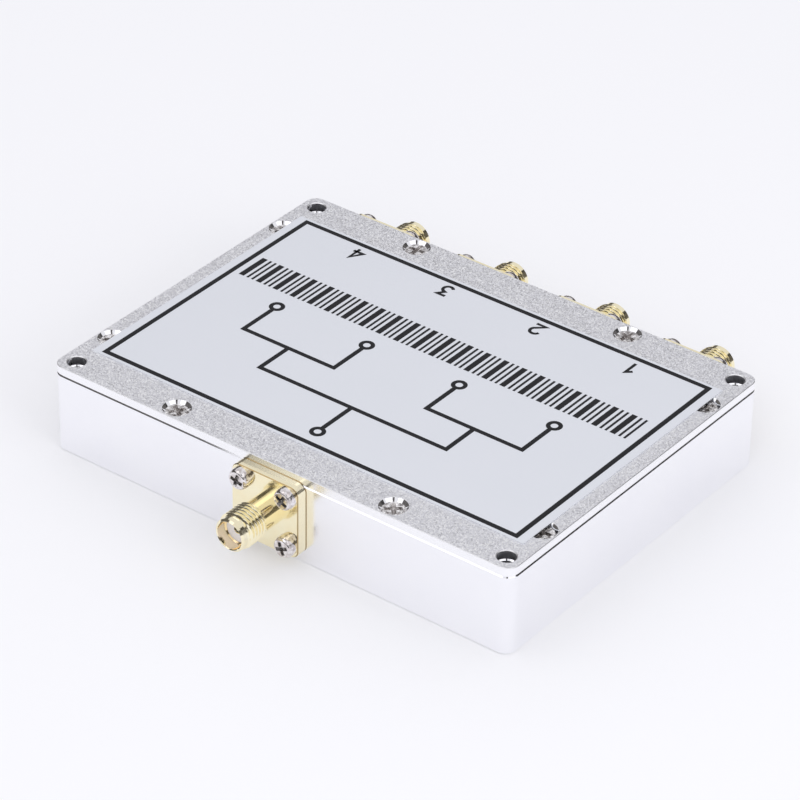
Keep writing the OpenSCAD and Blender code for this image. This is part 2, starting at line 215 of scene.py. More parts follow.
class SplitterColours(bpy.types.PropertyGroup):
    """Colours of the finishes"""

    aluminium: colour("Polished aluminium", "Bright parts of the polished aluminium", "#FDFDFF")
    aluminium_haze: colour("Aluminium haze", "Hazy parts of the polished aluminium", "#F8F8FC")
    grit_light: colour("Blasted light", "Bright grains of the blasted lid", "#FFFFFF")
    grit_dark: colour("Blasted dark", "Dull grains of the blasted lid", "#EEEEF2")
    # The drilled walls' colour is darker than the lid's aluminium as painted shade inside the holes
    drilled_and_shaded: colour("Drilled aluminium", "Walls of the drilled holes", "#B4B4B8")
    film: colour("Label film", "Silver film of the label", "#E2E4EA")
    film_shade: colour("Label film shade", "Cloudy parts of the film", "#DFE2E8")
    ink: colour("Ink", "Black print", "#121214")
    ink_thin: colour("Thin ink", "Print where the ink lies thin", "#1E1E22")
    gold: colour("Gold", "Bright gold plate", "#FFF9DC")
    gold_deep: colour("Deep gold", "Gold plate where it is thicker", "#FCEFC8")
    # The bore's gold is warmer than the plate as painted reflection: it stands for the gold-on-gold light
    # deep in the mouth
    bore_gold_painted_warm: colour("Gold in the bore", "Thin gold plate inside the mouth", "#FFF0DC")
    # The two edge golds are darker than the plate as painted shade: they stand for the dark reflected lines
    # along the flange's bevels
    edge_gold_shade: colour("Gold at the edges", "Gold plate worn thin along sharp edges", "#C8B084")
    edge_gold_shade_deep: colour("Deep gold at the edges", "Brass where the plate is worn through", "#A08A5E")
    nickel: colour("Nickel", "Bright nickel plate of the screws", "#F4F0F0")
    nickel_dull: colour("Dull nickel", "Nickel plate where it is dull", "#C8BFBC")
    # The recess colours are darker than the screws' nickel as painted shade in the cross recesses
    recess: colour("Recess", "Bright parts of the cross recesses", "#CCC8C6")
    recess_shade: colour("Dull recess", "Dull parts of the pan heads' cross recesses", "#6E6A69")
    lid_steel: colour("Lid screw", "Bright parts of the lid screws", "#FFFDFC")
    lid_steel_dull: colour("Dull lid screw", "Dull parts of the lid screws and their recesses", "#8E8886")
    insulator: colour("Insulator", "White fluoropolymer", "#FBF8F8")
    insulator_shade: colour("Insulator shade", "Turned rings in the insulator", "#F0ECEC")
    laminate: colour("Laminate", "Glass cloth of the board", "#D9D4B4")
    laminate_resin: colour("Laminate resin", "Resin between the threads", "#B9B48C")
    copper: colour("Copper", "Bright copper foil", "#D98F62")
    copper_dull: colour("Dull copper", "Handled copper foil", "#B06A45")
    resistor: colour("Resistor glaze", "Black glaze of the resistors", "#1D1D20")
    resistor_end: colour("Resistor end", "Tinned ends of the resistors", "#C4C4C8")
    solder: colour("Solder", "Bright tin solder", "#D4D6DB")
    solder_dull: colour("Dull solder", "Frosted tin solder", "#A9ACB3")
    floor: colour("Floor", "White table", "#F7F7FA")
    sky: colour("Studio", "Pale studio around the object", "#F8F8FC")
    cloth: colour("Cloth", "Dark cloth that bright metal shows", "#625F5C")
    cloth_deep: colour("Deep cloth", "Dark cloth in deeper shade", "#3A3938")


class SplitterStudio(bpy.types.PropertyGroup):
    """Light and camera"""

    right_power: number("Right lamp", "Power of the high soft lamp at the right", 0.6, min=0.0, unit="POWER")
    left_power: number("Left lamp", "Power of the soft lamp at the front left", 0.7, min=0.0, unit="POWER")
    front_power: number("Front lamp", "Power of the low soft lamp in front", 1.5, min=0.0, unit="POWER")
    side_power: number("Side lamp", "Power of the low soft lamp at the right", 1.6, min=0.0, unit="POWER")
    sky_strength: number("Studio level", "Strength of the light from the pale studio", 0.85, min=0.0)
    even_share: number("Even white", "Share of the table that is seen as even white", 0.3, min=0.0, max=1.0)
    lens: number("Lens", "Focal length of the camera in millimetres", 183.31, min=1.0)
    azimuth: number("Azimuth", "Turn of the camera about the object", math.radians(37.09), subtype="ANGLE")
    elevation: number("Elevation", "Height of the camera as an angle", math.radians(33.54), subtype="ANGLE")
    roll: number("Roll", "Tilt of the picture", math.radians(0.89), subtype="ANGLE")
    offset: bpy.props.FloatVectorProperty(
        name="Offset", description="Camera's place along its own right, up and back",
        default=(-0.667 * MM, 8.456 * MM, 637.391 * MM), size=3, precision=5, unit="LENGTH"
    )


def add_node(tree, kind, inputs=None, **settings):
    """Add a node, set its properties, and set its inputs or link them to a socket or to another node."""
    made = tree.nodes.new(kind)
    for name, value in settings.items():
        setattr(made, name, value)
    for name, value in (inputs or {}).items():
        socket = made.inputs[name]
        # A node stands for its first output in use
        if isinstance(value, bpy.types.Node):
            value = next(output for output in value.outputs if output.enabled)
        if isinstance(value, bpy.types.NodeSocket):
            tree.links.new(value, socket)
        elif socket.type == "RGBA":
            socket.default_value = (*value, 1.0)
        else:
            socket.default_value = value
    return made


def new_material(name):
    """Start a material; give it, the function that adds its nodes, and the place its patterns follow."""
    material = bpy.data.materials.new(name)
    material.use_nodes = True
    material.node_tree.nodes.clear()
    node = functools.partial(add_node, material.node_tree)
    return material, node, node("ShaderNodeTexCoord").outputs["Object"]


def polished_aluminium(colours):
    """Milled aluminium, buffed: a soft mirror with a faint haze, so near things show and far ones blur."""
    material, node, place = new_material("polished_aluminium")
    # Haze in clouds about 9 mm across
    haze = node("ShaderNodeTexNoise", {"Vector": place, "Scale": 1 / (9 * MM), "Detail": 3.0})
    # Buffing lines along the walls; real ones are about 0.02 mm apart and are drawn at 0.25 mm to show
    along = node("ShaderNodeMapping", {"Vector": place, "Scale": (0.02, 0.02, 1.0)})
    lines = node("ShaderNodeTexNoise", {"Vector": along, "Scale": 1 / (0.25 * MM), "Detail": 2.0})
    tint = node("ShaderNodeMix", {
        0: haze, 6: colours.aluminium_haze, 7: colours.aluminium,
    }, data_type="RGBA")
    blur = node("ShaderNodeMapRange", {
        "Value": haze, "From Min": 0.3, "From Max": 0.7, "To Min": 0.14, "To Max": 0.22,
    })
    # Edges that lean upwards are cut last with a sharp tool and stay clear mirrors
    facing = node("ShaderNodeNewGeometry")
    rise = node("ShaderNodeSeparateXYZ", {"Vector": facing.outputs["True Normal"]}).outputs["Z"]
    cut = node("ShaderNodeMath", {0: rise, 1: LEAN, 2: LEAN_SPREAD}, operation="COMPARE")
    finish = node("ShaderNodeMix", {0: cut, 2: blur, 3: MIRROR})
    relief = node("ShaderNodeBump", {"Height": lines, "Strength": 0.04, "Distance": 0.05 * MM})
    shader = node("ShaderNodeBsdfPrincipled", {
        "Base Color": tint, "Metallic": 1.0, "Roughness": finish, "Normal": relief,
    })
    node("ShaderNodeOutputMaterial", {"Surface": shader})
    return material


def blasted_aluminium(colours, corner):
    """Lid blasted with beads, then cut: fine grey face, bright sides, mirror sinks, dull drilled holes
    painted darker as shade.
    """
    material, node, place = new_material("bead_blasted_aluminium")
    facing = node("ShaderNodeNewGeometry")
    rise = node("ShaderNodeSeparateXYZ", {"Vector": facing.outputs["True Normal"]}).outputs["Z"]
    blasted = node("ShaderNodeMath", {0: rise, 1: LEVEL}, operation="GREATER_THAN")
    cut = node("ShaderNodeMath", {0: rise, 1: LEAN, 2: LEAN_SPREAD}, operation="COMPARE")
    # Drilled walls stand upright inside the lid's outline; the screws' sinks lie away from its corners
    reach = node("ShaderNodeVectorMath", {0: place}, operation="ABSOLUTE")
    share = node("ShaderNodeVectorMath", {0: reach, 1: (*corner.xy, 1.0)}, operation="DIVIDE")
    side = node("ShaderNodeSeparateXYZ", {"Vector": share})
    ways = {0: side.outputs["X"], 1: side.outputs["Y"]}
    longer = node("ShaderNodeMath", ways, operation="MAXIMUM")
    shorter = node("ShaderNodeMath", ways, operation="MINIMUM")
    inside = node("ShaderNodeMath", {0: longer, 1: HOLE_REACH}, operation="LESS_THAN")
    wall = node("ShaderNodeMath", {0: rise, 1: WALL}, operation="LESS_THAN")
    drilled_and_shaded = node("ShaderNodeMath", {0: inside, 1: wall}, operation="MULTIPLY")
    within = node("ShaderNodeMath", {0: longer, 1: SINK_REACH}, operation="LESS_THAN")
    apart = node("ShaderNodeMath", {0: shorter, 1: SINK_SIDE}, operation="LESS_THAN")
    clear = node("ShaderNodeMath", {0: within, 1: apart}, operation="MULTIPLY")
    sink = node("ShaderNodeMath", {0: cut, 1: clear}, operation="MULTIPLY")
    # Dimples of the beads, about 0.1 mm across and drawn at 0.17 mm to show
    dimples = node("ShaderNodeTexVoronoi", {"Vector": place, "Scale": 1 / (0.17 * MM)})
    own = dimples.outputs["Color"]
    chance = node("ShaderNodeSeparateXYZ", {"Vector": own}).outputs["X"]
    # About one grain in four sparkles
    sparkle = node("ShaderNodeMapRange", {"Value": chance, "From Min": 0.6, "From Max": 0.9})
    grains = node("ShaderNodeMix", {
        0: sparkle, 6: colours.grit_dark, 7: colours.grit_light,
    }, data_type="RGBA")
    # Drilled walls take a darker colour: painted shade inside the holes
    edges = node("ShaderNodeMix", {0: drilled_and_shaded, 6: colours.aluminium, 7: colours.drilled_and_shaded}, data_type="RGBA")
    tint = node("ShaderNodeMix", {0: blasted, 6: edges, 7: grains}, data_type="RGBA")
    matt = node("ShaderNodeMath", {0: blasted, 1: drilled_and_shaded}, operation="MAXIMUM")
    dull = node("ShaderNodeMath", {0: matt, 1: cut}, operation="MAXIMUM")
    blur = node("ShaderNodeMapRange", {"Value": dull, "To Min": 0.22, "To Max": 0.45})
    finish = node("ShaderNodeMix", {0: sink, 2: blur, 3: MIRROR})
    # Each dimple leans its own way, and only on the blasted face
    lean = node("ShaderNodeVectorMath", {0: own, 1: (0.5, 0.5, 0.5)}, operation="SUBTRACT")
    amount = node("ShaderNodeMath", {0: blasted, 1: DIMPLE_LEAN}, operation="MULTIPLY")
    tilt = node("ShaderNodeVectorMath", {"Vector": lean, "Scale": amount}, operation="SCALE")
    leaning = node("ShaderNodeVectorMath", {0: facing.outputs["Normal"], 1: tilt}, operation="ADD")
    normal = node("ShaderNodeVectorMath", {0: leaning}, operation="NORMALIZE")
    shader = node("ShaderNodeBsdfPrincipled", {
        "Base Color": tint, "Metallic": 1.0, "Roughness": finish, "Normal": normal,
    })
    node("ShaderNodeOutputMaterial", {"Surface": shader})
    return material


def silver_film(colours):
    """Matt silver polyester film: an even cool grey with a soft sheen and hardly any grain."""
    material, node, place = new_material("silver_polyester_film")
    # Clouds in the coating, about 14 mm across
    clouds = node("ShaderNodeTexNoise", {"Vector": place, "Scale": 1 / (14 * MM), "Detail": 2.0})
    tint = node("ShaderNodeMix", {0: clouds, 6: colours.film_shade, 7: colours.film}, data_type="RGBA")
    # Matt coating, grain about 0.08 mm and drawn at 0.2 mm to show
    grain = node("ShaderNodeTexNoise", {"Vector": place, "Scale": 1 / (0.2 * MM), "Detail": 1.0})
    relief = node("ShaderNodeBump", {"Height": grain, "Strength": 0.05, "Distance": 0.02 * MM})
    shader = node("ShaderNodeBsdfPrincipled", {
        "Base Color": tint, "Metallic": 0.25, "Roughness": 0.42, "IOR": 1.6, "Normal": relief,
    })
    node("ShaderNodeOutputMaterial", {"Surface": shader})
    return material


def black_ink(colours):
    """Thermal-transfer print: flat black resin that lies a little thin in places, with a low sheen."""
    material, node, place = new_material("black_printed_resin")
    # Uneven cover, in patches about 0.8 mm across
    cover = node("ShaderNodeTexNoise", {"Vector": place, "Scale": 1 / (0.8 * MM), "Detail": 3.0})
    tint = node("ShaderNodeMix", {0: cover, 6: colours.ink, 7: colours.ink_thin}, data_type="RGBA")
    shader = node("ShaderNodeBsdfPrincipled", {
        "Base Color": tint, "Roughness": 0.5, "IOR": 1.5, "Specular IOR Level": 0.25,
    })
    node("ShaderNodeOutputMaterial", {"Surface": shader})
    return material


def gold_plate(name, bright, deep):
    """Turned brass with bright gold plate: a slightly soft warm mirror with faint turning rings."""
    material, node, place = new_material(name)
    # Thickness of the plate, in clouds about 2.5 mm across
    clouds = node("ShaderNodeTexNoise", {"Vector": place, "Scale": 1 / (2.5 * MM), "Detail": 3.0})
    tint = node("ShaderNodeMix", {0: clouds, 6: deep, 7: bright}, data_type="RGBA")
    # Turning rings along the jack's axis; real ones are about 0.05 mm apart and are drawn at 0.18 mm to show
    across = node("ShaderNodeMapping", {"Vector": place, "Scale": (0.02, 1.0, 0.02)})
    rings = node("ShaderNodeTexNoise", {"Vector": across, "Scale": 1 / (0.18 * MM), "Detail": 1.0})
    relief = node("ShaderNodeBump", {"Height": rings, "Strength": 0.03, "Distance": 0.05 * MM})
    blur = node("ShaderNodeMapRange", {"Value": clouds, "To Min": 0.07, "To Max": 0.15})
    shader = node("ShaderNodeBsdfPrincipled", {
        "Base Color": tint, "Metallic": 1.0, "Roughness": blur, "Normal": relief,
    })
    node("ShaderNodeOutputMaterial", {"Surface": shader})
    return material


def nickel_plate(name, bright, dull, unevenness, softness=0.15):
    """Cold-headed steel screws with nickel plate: bright, slightly warm, with small dull spots and dents."""
    material, node, place = new_material(name)
    # Dull spots, about 0.7 mm across
    spots = node("ShaderNodeTexNoise", {"Vector": place, "Scale": 1 / (0.7 * MM), "Detail": 3.0})
    shine = node("ShaderNodeMapRange", {"Value": spots, "From Min": 0.35, "From Max": 0.6})
    tint = node("ShaderNodeMix", {0: shine, 6: dull, 7: bright}, data_type="RGBA")
    blur = node("ShaderNodeMapRange", {"Value": shine, "To Min": softness, "To Max": softness / 3})
    # Dents from the heading die and from tumbling, about 0.4 mm across
    dents = node("ShaderNodeTexNoise", {"Vector": place, "Scale": 1 / (0.4 * MM), "Detail": 2.0})
    relief = node("ShaderNodeBump", {"Height": dents, "Strength": 1.0, "Distance": unevenness})
    shader = node("ShaderNodeBsdfPrincipled", {
        "Base Color": tint, "Metallic": 1.0, "Roughness": blur, "Normal": relief,
    })
    node("ShaderNodeOutputMaterial", {"Surface": shader})
    return material


def turned_fluoropolymer(colours):
    """Turned white fluoropolymer: a waxy white face with faint cutter marks."""
    material, node, place = new_material("turned_fluoropolymer")
    # Cutter marks, about 0.3 mm apart
    marks = node("ShaderNodeTexNoise", {"Vector": place, "Scale": 1 / (0.3 * MM), "Detail": 2.0})
    tint = node("ShaderNodeMix", {
        0: marks, 6: colours.insulator_shade, 7: colours.insulator,
    }, data_type="RGBA")
    shader = node("ShaderNodeBsdfPrincipled", {"Base Color": tint, "Roughness": 0.45, "IOR": 1.36})
    node("ShaderNodeOutputMaterial", {"Surface": shader})
    return material


def two_tone(name, size, pale, deep, roughness, metallic, ior):
    """Finish of the pieces inside the box: two tones in patches of a real size, dull where they are deep."""
    material, node, place = new_material(name)
    patches = node("ShaderNodeTexNoise", {"Vector": place, "Scale": 1 / size, "Detail": 3.0})
    tint = node("ShaderNodeMix", {0: patches, 6: deep, 7: pale}, data_type="RGBA")
    spread = 0.08
    blur = node("ShaderNodeMapRange", {
        "Value": patches, "To Min": roughness + spread, "To Max": roughness - spread,
    })
    shader = node("ShaderNodeBsdfPrincipled", {
        "Base Color": tint, "Metallic": metallic, "Roughness": blur, "IOR": ior,
    })
    node("ShaderNodeOutputMaterial", {"Surface": shader})
    return material


def woven_laminate(colours):
    """Glass cloth in resin: a pale weave that shows through a smooth surface."""
    material, node, place = new_material("woven_glass_laminate")
    # Threads of the cloth, 0.5 mm apart
    weave = node("ShaderNodeTexChecker", {
        "Vector": place, "Scale": 1 / (0.5 * MM), "Color1": colours.laminate,
        "Color2": colours.laminate_resin,
    })
    shader = node("ShaderNodeBsdfPrincipled", {"Base Color": weave, "Roughness": 0.35, "IOR": 1.55})
    node("ShaderNodeOutputMaterial", {"Surface": shader})
    return material


def dress(material, *nodes):
    """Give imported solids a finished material."""
    for name in nodes:
        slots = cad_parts[name].material_slots
        if not slots:
            raise RuntimeError(f"{name} has no material slot")
        for slot in slots:
            slot.material = material


def new_object(name, shape, *materials):
    """Turn a shape under construction into an object in the scene."""
    mesh = bpy.data.meshes.new(name)
    shape.to_mesh(mesh)
    shape.free()
    for material in materials:
        mesh.materials.append(material)
    made = bpy.data.objects.new(name, mesh)
    bpy.context.scene.collection.objects.link(made)
    return made


def make_piece(name, shape, materials, slot, *nodes):
    """Turn a closed shape into a piece that rides on the box, in place of the given solids."""
    bmesh.ops.recalc_face_normals(shape, faces=shape.faces[:])
    loose = [edge for edge in shape.edges if not edge.is_manifold]
    if loose:
        raise RuntimeError(f"{name} has {len(loose)} open edges")
    piece = new_object(name, shape, *materials)
    piece.data.shade_smooth()
    piece.data.set_sharp_from_angle(angle=SHARP_ANGLE)
    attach(piece, "root")
    if nodes:
        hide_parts(*nodes)


def ring(shape, radius, height, count=JACK_FACETS):
    """Circle of vertices; the radius may be a function of the turn, from 0 to 1."""
    made = []
    for step in range(count):
        turn = step / count
        reach = radius(turn) if callable(radius) else radius
        angle = 2 * math.pi * turn
        made.append(shape.verts.new((reach * math.cos(angle), reach * math.sin(angle), height)))
    return made


def neighbours(loop):
    """Each vertex of a closed loop with the next one."""
    return zip(loop, loop[1:] + loop[:1])


def skin(shape, first, second):
    """Wall of quads between two loops with equally many vertices."""
    for (a, b), (d, c) in zip(neighbours(first), neighbours(second)):
        shape.faces.new((a, b, c, d))


def fan(shape, pole, loop):
    """Cap of triangles from a point to a loop."""
    for a, b in neighbours(loop):
        shape.faces.new((pole, a, b))


def plate(shape, *loops):
    """Flat face inside the first loop and outside the others."""
    edges = []
    for loop in loops:
        for a, b in neighbours(loop):
            edges.append(shape.edges.get((a, b)) or shape.edges.new((a, b)))
    bmesh.ops.triangle_fill(shape, use_beauty=True, use_dissolve=False, edges=edges, normal=(0, 0, 1))


def rounded_rectangle(long, wide, radius, steps=10):
    """Outline of a rectangle with round corners, anticlockwise."""
    points = []
    for corner, (sx, sy) in enumerate(((1, 1), (-1, 1), (-1, -1), (1, -1))):
        for step in range(steps + 1):
            angle = math.pi / 2 * (corner + step / steps)
            x = sx * (long / 2 - radius) + radius * math.cos(angle)
            y = sy * (wide / 2 - radius) + radius * math.sin(angle)
            points.append((x, y))
    return points


def outline_ring(shape, points, height):
    """Loop of vertices along a flat outline."""
    return [shape.verts.new((x, y, height)) for x, y in points]


def thread_crest(phase):
    """Height of a 60 degree thread, from 0 at the root to 1 at the crest, over one pitch."""
    crest, root = 1 / 8, 1 / 4
    flank = (1 - crest - root) / 2
    from_crest = abs((phase + 0.5) % 1.0 - 0.5)
    return min(1.0, max(0.0, 1.0 - (from_crest - crest / 2) / flank))


def port_place(port):
    """Matrix from a jack's own frame, with Z outwards from the wall, to its place on the box."""
    low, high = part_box(f"{port}_jack_shell")
    box_low, box_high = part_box("housing")
    facing = -1 if port == "common" else 1
    wall = box_low.y if facing < 0 else box_high.y
    place = Vector(((low.x + high.x) / 2, wall, (low.z + high.z) / 2))
    return Matrix.Translation(place) @ Matrix.Rotation(math.radians(-90 * facing), 4, "X")


def jack_shell(sizes, side, reach):
    """Flange, neck, cut thread, collar, mouth and bore of a jack as one closed shape."""
    shape = bmesh.new()
    front = sizes.flange_t
    start = front + sizes.neck_l
    end = start + sizes.thread_l
    root = sizes.thread_d / 2 - sizes.thread_depth
    pitch = sizes.thread_pitch
    foot = ring(shape, sizes.neck_d / 2, front)
    loops = [foot, ring(shape, sizes.neck_d / 2, start)]
    rings = round(sizes.thread_l / pitch * PITCH_STEPS)
    for step in range(rings + 1):
        out = start + sizes.thread_l * step / rings
        cone = min(out - start, end - out) * RUN_OUT

        def radius(turn, out=out, cone=cone):
            cut = root + sizes.thread_depth * thread_crest(out / pitch - turn)
            return min(cut, root + cone)

        loops.append(ring(shape, radius, out))
    nose = sizes.nose_d / 2
    mouth = sizes.mouth_d / 2
    for radius, out in (
        (nose, end + HAIR),
        (nose, reach - sizes.nose_bevel),
        (nose - sizes.nose_bevel, reach),
        (mouth + sizes.mouth_bevel, reach),
        (mouth, reach - sizes.mouth_bevel),
        (mouth, reach - sizes.mouth_depth),
        (sizes.bore_d / 2, reach - sizes.mouth_depth),
        (sizes.bore_d / 2, 0.0),
    ):
        loops.append(ring(shape, radius, out))
    for first, second in zip(loops, loops[1:]):
        skin(shape, first, second)
    inset = side - 2 * sizes.flange_bevel
    inner = rounded_rectangle(inset, inset, sizes.flange_r - sizes.flange_bevel)
    outer = rounded_rectangle(side, side, sizes.flange_r)
    rim = outline_ring(shape, inner, front)
    edge = outline_ring(shape, outer, front - sizes.flange_edge)
    heel = outline_ring(shape, outer, sizes.flange_edge)
    back = outline_ring(shape, inner, 0.0)
    for first, second in ((rim, edge), (edge, heel), (heel, back)):
        skin(shape, first, second)
    fronts, backs = [], []
    for sx, sy in CORNERS:
        shift = Vector((sx, sy, 0)) * sizes.hole_pitch / 2
        for made, height in ((fronts, front), (backs, 0.0)):
            hole = ring(shape, sizes.hole_d / 2, height, HOLE_FACETS)
            for vertex in hole:
                vertex.co += shift
            made.append(hole)
        skin(shape, fronts[-1], backs[-1])
    plate(shape, rim, foot, *fronts)
    plate(shape, back, loops[-1], *backs)
    # The flange's bevels take a darker gold as painted shade for the dark reflected lines along them, and
    # the mouth takes a warmer gold as painted reflection of the gold-on-gold light inside it
    faces, sides = {*rim, *back}, {*edge, *heel}
    for face in shape.faces:
        middle = face.calc_center_median()
        corners = set(face.verts)
        if corners & faces and corners & sides:
            face.material_index = 2
        elif middle.xy.length < mouth + sizes.mouth_bevel / 4 and middle.z > 0:
            face.material_index = 1
    return shape


def turned(profile):
    """Closed shape turned from a half section that starts and ends on the axis."""
    shape = bmesh.new()
    low = shape.verts.new((0, 0, profile[0][1]))
    high = shape.verts.new((0, 0, profile[-1][1]))
    loops = [ring(shape, radius, height, SCREW_FACETS) for radius, height in profile[1:-1]]
    for first, second in zip(loops, loops[1:]):
        skin(shape, first, second)
    fan(shape, low, loops[0])
    fan(shape, high, loops[-1])
    bmesh.ops.recalc_face_normals(shape, faces=shape.faces[:])
    return shape


def cross_loop(shape, wing, half, height):
    """Loop of vertices round a cross with wings of a given reach and half width."""
    quarter = [(wing, -half), (wing, half), (half, half)]
    points = []
    for c, s in ((1, 0), (0, 1), (-1, 0), (0, -1)):
        points += [(x * c - y * s, x * s + y * c) for x, y in quarter]
    return outline_ring(shape, points, height)


def recess_tool(sizes, long, wide, taper, top):
    """Shape of a cross recess with its mouth at the given height and its floor smaller by the taper."""
    # The tool stands clear of the head, where it flares a little, and narrows from a lip just below the face
    clear, lip = 0.3 * MM, 0.05 * MM
    flare_long, flare_wide = 1.08, 1.04
    wing, half = long / 2, wide / 2
    deep = top - sizes.recess_depth
    shape = bmesh.new()
    above = cross_loop(shape, wing * flare_long, half * flare_wide, top + clear)
    mouth = cross_loop(shape, wing, half, top - lip)
    floor = cross_loop(shape, wing * taper, half * taper, deep)
    skin(shape, above, mouth)
    skin(shape, mouth, floor)
    fan(shape, shape.verts.new((0, 0, top + clear)), above)
    fan(shape, shape.verts.new((0, 0, deep - sizes.recess_tip)), floor)
    bmesh.ops.recalc_face_normals(shape, faces=shape.faces[:])
    return shape


def cut_out(body, tool, face):
    """Mesh of the body less the tool; the hollow below the given face takes the second material."""
    blank = new_object("screw_blank", body)
    cutter = new_object("recess_tool", tool)
    modifier = blank.modifiers.new("recess", "BOOLEAN")
    modifier.operation = "DIFFERENCE"
    modifier.solver = "EXACT"
    modifier.object = cutter
    graph = bpy.context.evaluated_depsgraph_get()
    result = bpy.data.meshes.new_from_object(blank.evaluated_get(graph))
    reach = max(vertex.co.xy.length for vertex in cutter.data.vertices)
    floor = min(vertex.co.z for vertex in cutter.data.vertices)
    for polygon in result.polygons:
        deep = floor <= polygon.center.z < face
        polygon.material_index = int(deep and polygon.center.xy.length < reach)
    for made in (blank, cutter):
        mesh = made.data
        bpy.data.objects.remove(made)
        bpy.data.meshes.remove(mesh)
    return result


def pan_screw(sizes, shank):
    """Pan-head screw with its seat at Z = 0."""
    thread, head = sizes.screw_d / 2, sizes.pan_head_d / 2
    lead, heel, shoulder = sizes.screw_lead, sizes.pan_heel, sizes.pan_shoulder
    profile = [
        (0, -shank), (thread - lead, -shank), (thread, lead - shank), (thread, 0), (head - heel, 0),
        (head, heel),
    ]
    face = head - shoulder
    rim = sizes.pan_head_h - sizes.pan_crown
    rise = rim - sizes.pan_side_h
    for step in range(DOME_STEPS):
        angle = math.pi / 2 * step / DOME_STEPS
        profile.append((face + shoulder * math.cos(angle), sizes.pan_side_h + rise * math.sin(angle)))
    for step in range(DOME_STEPS):
        share = 1 - step / DOME_STEPS
        profile.append((face * share, sizes.pan_head_h - sizes.pan_crown * share ** 2))
    profile.append((0, sizes.pan_head_h))
    tool = recess_tool(sizes, sizes.pan_recess_l, sizes.pan_recess_w, sizes.pan_taper, sizes.pan_head_h)
    return cut_out(turned(profile), tool, rim - HAIR)


def countersunk_screw(sizes, low):
    """Countersunk screw whose head's face lies at Z = 0 and whose end lies at the given depth."""
    thread, head = sizes.screw_d / 2, sizes.lid_head_d / 2
    lead, rim = sizes.screw_lead, sizes.lid_head_rim
    profile = [
        (0, -low), (thread - lead, -low), (thread, lead - low), (thread, thread - head), (head, -rim),
        (head - rim, 0), (0, 0),
    ]
    tool = recess_tool(sizes, sizes.lid_recess_l, sizes.lid_recess_w, sizes.lid_taper, 0.0)
    return cut_out(turned(profile), tool, -HAIR)


def set_of(mesh, places):
    """One shape with a copy of a screw at each place."""
    shape = bmesh.new()
    for place in places:
        first = len(shape.verts)
        shape.from_mesh(mesh)
        shape.verts.ensure_lookup_table()
        bmesh.ops.transform(shape, matrix=place, verts=shape.verts[first:])
    bpy.data.meshes.remove(mesh)
    return shape


def prism(shape, outline, low, high):
    """Closed flat solid with the given outline."""
    floor = outline_ring(shape, outline, low)
    top = outline_ring(shape, outline, high)
    skin(shape, floor, top)
    shape.faces.new(floor)
    shape.faces.new(top)


def hoop(shape, outer, inner, low, high):
    """Closed flat solid between two outlines with equally many points."""
    loops = [
        outline_ring(shape, outline, height)
        for outline, height in ((outer, low), (outer, high), (inner, high), (inner, low))
    ]
    for first, second in neighbours(loops):
        skin(shape, first, second)


def bar(x0, x1, y0, y1):
    """Outline of an upright rectangle."""
    return [(x0, y0), (x1, y0), (x1, y1), (x0, y1)]


def bend(x, y, radius, first, last, steps=12):
    """Points along an arc between two angles in degrees."""
    angles = [math.radians(first + (last - first) * step / steps) for step in range(steps + 1)]
    return [(x + radius * math.cos(a), y + radius * math.sin(a)) for a in angles]


def stroke(path, width):
    """Outline of a pen stroke of even width along a path, with its corners cut to a point."""
    sides = []
    for index, (x, y) in enumerate(path):
        before = Vector(path[max(index - 1, 0)])
        after = Vector(path[min(index + 1, len(path) - 1)])
        here = Vector((x, y))
        runs = [run.normalized() for run in (here - before, after - here) if run.length > 0]
        along = sum(runs, Vector((0, 0))).normalized()
        across = Vector((-along.y, along.x))
        reach = width / 2 / max(MITRE, abs(along.dot(runs[0])))
        sides.append((here + across * reach, here - across * reach))
    return [tuple(left) for left, _ in sides] + [tuple(right) for _, right in reversed(sides)]


# Middle lines of the port numbers 1 to 4, one unit high
NUMBER_STROKES = (
    [(-0.24, 0.74), (0.06, 1.0), (0.06, 0.0)],
    bend(0.0, 0.7, 0.3, 165, -38) + [(-0.3, 0.06), (0.34, 0.06)],
    [(-0.28, 0.95), (0.26, 0.95), (-0.02, 0.6)] + bend(0.0, 0.29, 0.29, 80, -150),
    [(0.36, 0.3), (-0.3, 0.3), (0.14, 1.0), (0.14, 0.0)],
)


class SPLITTER_OT_box(bpy.types.Operator):
    """Finish the milled box and its lid"""

    bl_idname = "splitter.box"
    bl_label = "Box and lid"

    def execute(self, context):
        colours = context.scene.splitter_colours
        dress(polished_aluminium(colours), "housing")
        dress(blasted_aluminium(colours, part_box("lid")[1]), "lid")
        return {"FINISHED"}


